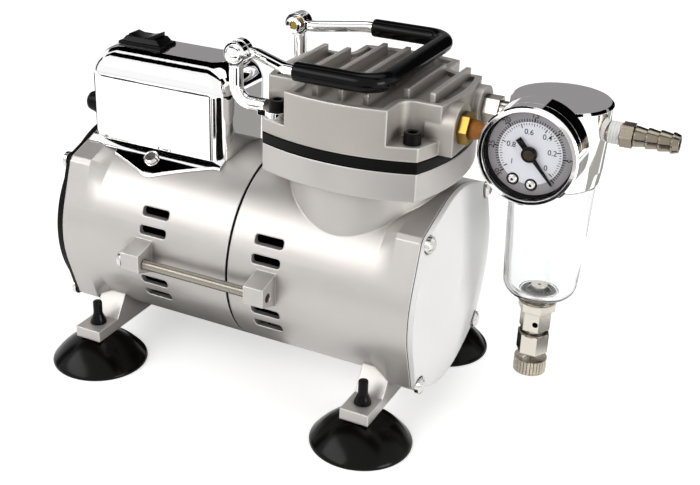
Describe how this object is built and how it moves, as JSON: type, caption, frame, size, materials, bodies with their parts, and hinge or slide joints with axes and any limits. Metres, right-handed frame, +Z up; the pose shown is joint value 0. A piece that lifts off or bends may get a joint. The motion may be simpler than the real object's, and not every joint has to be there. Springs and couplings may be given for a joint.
{
  "type": "vacuum pump",
  "caption": "Oil-free piston vacuum pump with a finned head, folding carrying handle, chrome switch box, moisture trap with clear bowl, vacuum gauge, hose barb and suction feet.",
  "frame": {"origin": "on the floor plane of the feet, under the middle of the overall bounding box", "axes": "+X along the motor shaft towards the hose barb, +Y away from the gauge, +Z up"},
  "size_m": [0.2944, 0.154, 0.1796],
  "materials": {
    "cast_housing": "satin bead-blasted casting",
    "cast_head": "satin bead-blasted casting",
    "black_steel": "black coated",
    "black_rubber": "glossy moulded",
    "gasket": "matt sheet",
    "chrome": "bright plated",
    "zinc_steel": "zinc plated",
    "nickel_brass": "nickel plated",
    "brass": "turned",
    "sintered_bronze": "sintered",
    "black_plastic": "moulded",
    "clear_plastic": "clear moulded",
    "gauge_glass": "clear",
    "dial_print": "printed",
    "white_tape": "wound tape",
    "lamination": "stacked sheet",
    "copper": "lacquered wire",
    "bearing_steel": "ground",
    "seal_plastic": "moulded",
    "filter_felt": "porous",
    "fan_plastic": "moulded"
  },
  "bodies": {
    "pump": {"rear_housing": "cast_housing", "front_housing": "cast_housing", "seam_seal": "gasket", "rear_cover": "black_steel", "cover_gasket": "gasket", "front_cover": "cast_housing", "cover_screws": "zinc_steel", "tie_screws": "zinc_steel", "suction_feet": "black_rubber", "stator_core": "lamination", "stator_windings": "copper", "shaft_bearings": "bearing_steel", "cylinder_sleeve": "bearing_steel", "cylinder_gasket": "gasket", "valve_plate": "black_steel", "head_gasket": "gasket", "valve_reeds": "bearing_steel", "cylinder_head": "cast_head", "head_screws": "black_steel", "handle_posts": "chrome", "pivot_pins": "brass", "switch_box": "chrome", "switch_box_screws": "zinc_steel", "switch_housing": "black_plastic", "strain_relief": "black_plastic", "capacitor": "fan_plastic", "silencer_body": "brass", "silencer_element": "sintered_bronze", "hex_nipple": "nickel_brass", "trap_head": "chrome", "trap_filter": "filter_felt", "filter_holder": "fan_plastic", "bowl_seal": "gasket", "hose_barb": "nickel_brass", "thread_tape": "white_tape", "gauge_bezel": "chrome", "gauge_lens": "gauge_glass", "gauge_case": "chrome", "gauge_dial": "dial_print", "dial_screws": "zinc_steel", "gauge_stem": "nickel_brass"},
    "rotor": {"shaft": "bearing_steel", "rotor_core": "lamination", "cooling_fan": "fan_plastic", "crank": "bearing_steel"},
    "rod": {"connecting_rod": "cast_housing", "rod_bearing": "bearing_steel", "cup_seal": "seal_plastic", "seal_clamp": "bearing_steel"},
    "handle": {"handle_bar": "chrome", "handle_grip": "black_rubber"},
    "switch": {"rocker": "black_plastic"},
    "needle": {"gauge_needle": "black_steel"},
    "bowl_group": {"bowl": "clear_plastic", "bowl_ring": "nickel_brass", "ring_nut": "nickel_brass", "bleed_valve": "nickel_brass", "lock_nut": "nickel_brass"},
    "knob": {"bleed_knob": "nickel_brass"}
  },
  "joints": [
    {"name": "shaft_spin", "type": "hinge", "parent": "pump", "child": "rotor", "pos_m": [-0.0418, 0, 0.0665], "axis": [1, 0, 0], "continuous": true},
    {"name": "rod_on_crank", "type": "hinge", "parent": "rotor", "child": "rod", "pos_m": [0.01, 0, 0.0695], "axis": [1, 0, 0], "continuous": true, "deforming": ["cup_seal"]},
    {"name": "handle_fold", "type": "hinge", "parent": "pump", "child": "handle", "pos_m": [-0.0464, 0, 0.1738], "axis": [0, -1, 0], "range_deg": [0, 180]},
    {"name": "switch_rock", "type": "hinge", "parent": "pump", "child": "switch", "pos_m": [-0.1183, 0, 0.1603], "axis": [0, 1, 0], "range_deg": [0, 12]},
    {"name": "needle_turn", "type": "hinge", "parent": "pump", "child": "needle", "pos_m": [0.0942, -0.0265, 0.1511], "axis": [0, -1, 0], "range_deg": [0, 262], "stiffness_Nm_per_rad": 0.00002},
    {"name": "bowl_drop", "type": "slide", "parent": "pump", "child": "bowl_group", "axis": [0, 0, -1], "range_m": [0, 0.012]},
    {"name": "knob_turn", "type": "hinge", "parent": "bowl_group", "child": "knob", "pos_m": [0.0942, 0.015, 0.0265], "axis": [0, 0, 1], "range_deg": [0, 360]}
  ],
  "couplings": [
    {"joint": "rod_on_crank", "follows": "shaft_spin", "ratio": -1}
  ]
}
